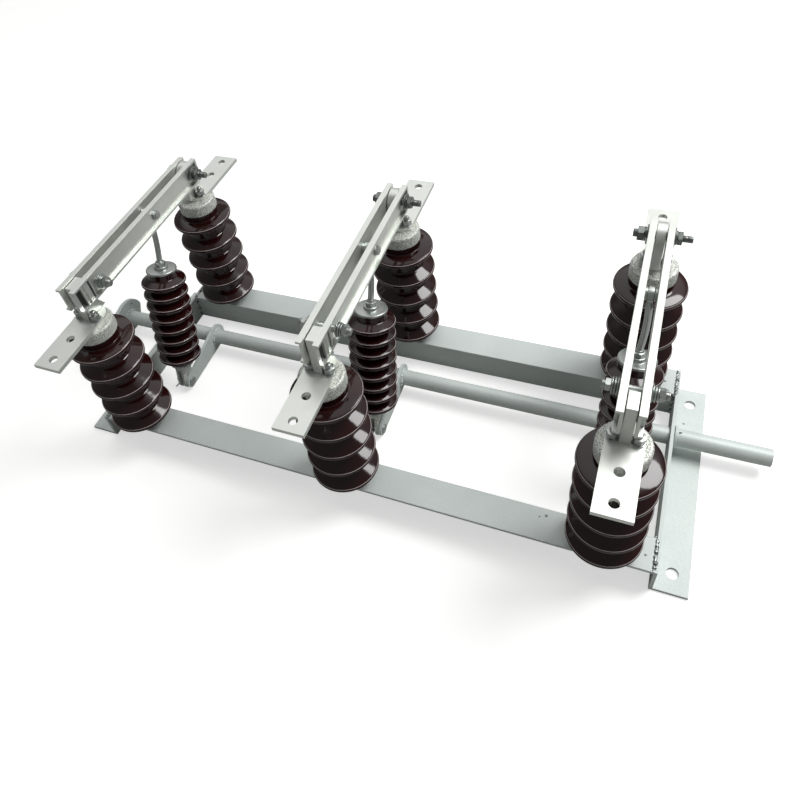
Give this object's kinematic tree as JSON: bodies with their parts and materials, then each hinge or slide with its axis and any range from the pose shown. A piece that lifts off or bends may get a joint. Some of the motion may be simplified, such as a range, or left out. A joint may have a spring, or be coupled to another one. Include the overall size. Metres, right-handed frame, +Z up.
{
  "type": "disconnect switch",
  "caption": "Gang-operated knife disconnect switch: blade pairs on ribbed porcelain posts, porcelain pull rods and a cranked tube shaft on an angle-iron base.",
  "frame": {"origin": "on the floor, under the middle of the angle-iron base", "axes": "+X along the operating shaft towards its free end, +Y towards the hinge side, +Z up"},
  "size_m": [0.923, 0.41, 0.287],
  "materials": {
    "silver_paint": "satin silver-grey paint",
    "plated_metal": "dull zinc or tin plate",
    "cast_metal": "rough galvanised casting",
    "porcelain": "glossy dark brown glaze"
  },
  "bodies": {
    "frame": {"front_beam": "silver_paint", "rear_beam": "silver_paint", "left_end_angle": "silver_paint", "right_end_angle": "silver_paint", "front_left_post": "porcelain", "front_middle_post": "porcelain", "front_right_post": "porcelain", "rear_left_post": "porcelain", "rear_middle_post": "porcelain", "rear_right_post": "porcelain", "post_feet": "silver_paint", "post_caps": "cast_metal", "front_left_terminal": "plated_metal", "front_middle_terminal": "plated_metal", "front_right_terminal": "plated_metal", "rear_left_terminal": "plated_metal", "rear_middle_terminal": "plated_metal", "rear_right_terminal": "plated_metal", "contact_plates": "plated_metal", "hinge_bolts": "plated_metal"},
    "shaft": {"shaft_tube": "silver_paint", "shaft_washers": "plated_metal", "drive_lever": "silver_paint", "left_crank": "silver_paint", "middle_crank": "silver_paint", "right_crank": "silver_paint", "crank_pins": "plated_metal"},
    "left_blade_pair": {"left_blades": "plated_metal", "left_contact_bolt": "plated_metal", "left_link_pin": "plated_metal"},
    "middle_blade_pair": {"middle_blades": "plated_metal", "middle_contact_bolt": "plated_metal", "middle_link_pin": "plated_metal"},
    "right_blade_pair": {"right_blades": "plated_metal", "right_contact_bolt": "plated_metal", "right_link_pin": "plated_metal"},
    "left_pull_rod": {"left_rod_porcelain": "porcelain", "left_rod_head": "plated_metal", "left_rod_fork": "plated_metal"},
    "middle_pull_rod": {"middle_rod_porcelain": "porcelain", "middle_rod_head": "plated_metal", "middle_rod_fork": "plated_metal"},
    "right_pull_rod": {"right_rod_porcelain": "porcelain", "right_rod_head": "plated_metal", "right_rod_fork": "plated_metal"}
  },
  "joints": [
    {"name": "shaft_turn", "type": "hinge", "parent": "frame", "child": "shaft", "pos_m": [0, 0.047, 0.025], "axis": [-1, 0, 0], "range_deg": [0, 65]},
    {"name": "left_blade_turn", "type": "hinge", "parent": "frame", "child": "left_blade_pair", "pos_m": [-0.3, 0.12, 0.271], "axis": [-1, 0, 0], "range_deg": [0, 59.5]},
    {"name": "left_rod_turn", "type": "hinge", "parent": "left_blade_pair", "child": "left_pull_rod", "pos_m": [-0.3, 0.03, 0.271], "axis": [1, 0, 0], "range_deg": [0, 57.8]},
    {"name": "middle_blade_turn", "type": "hinge", "parent": "frame", "child": "middle_blade_pair", "pos_m": [0, 0.12, 0.271], "axis": [-1, 0, 0], "range_deg": [0, 59.5]},
    {"name": "middle_rod_turn", "type": "hinge", "parent": "middle_blade_pair", "child": "middle_pull_rod", "pos_m": [0, 0.03, 0.271], "axis": [1, 0, 0], "range_deg": [0, 57.8]},
    {"name": "right_blade_turn", "type": "hinge", "parent": "frame", "child": "right_blade_pair", "pos_m": [0.3, 0.12, 0.271], "axis": [-1, 0, 0], "range_deg": [0, 59.5]},
    {"name": "right_rod_turn", "type": "hinge", "parent": "right_blade_pair", "child": "right_pull_rod", "pos_m": [0.3, 0.03, 0.271], "axis": [1, 0, 0], "range_deg": [0, 57.8]}
  ],
  "couplings": [
    {"joint": "left_blade_turn", "follows": "shaft_turn", "ratio": 0.9127},
    {"joint": "left_rod_turn", "follows": "shaft_turn", "ratio": 0.8841},
    {"joint": "middle_blade_turn", "follows": "shaft_turn", "ratio": 0.9127},
    {"joint": "middle_rod_turn", "follows": "shaft_turn", "ratio": 0.8841},
    {"joint": "right_blade_turn", "follows": "shaft_turn", "ratio": 0.9127},
    {"joint": "right_rod_turn", "follows": "shaft_turn", "ratio": 0.8841}
  ]
}
